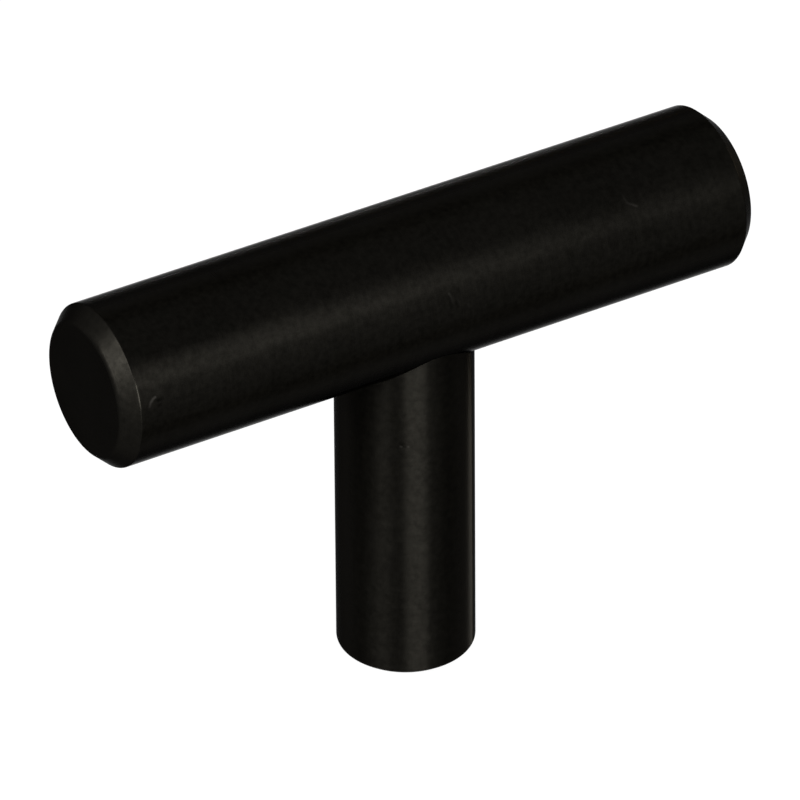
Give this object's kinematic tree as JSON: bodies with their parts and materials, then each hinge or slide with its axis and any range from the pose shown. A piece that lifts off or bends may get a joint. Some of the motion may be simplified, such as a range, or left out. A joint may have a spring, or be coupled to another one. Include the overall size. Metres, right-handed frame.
{
  "type": "cabinet knob",
  "caption": "T-bar cabinet knob in satin black: a short round bar with bevelled ends, seated across a round post with a tapped foot.",
  "frame": {"origin": "centre of the post's foot, the flat face that sits against the cabinet", "axes": "+Z out from the cabinet along the post, +X along the bar"},
  "size_m": [0.052, 0.012, 0.036],
  "materials": {
    "bar_finish": "satin",
    "post_finish": "satin",
    "stud_steel": "satin"
  },
  "bodies": {
    "root": {"cross_bar": "bar_finish", "post": "post_finish", "joining_stud": "stud_steel"}
  },
  "joints": []
}
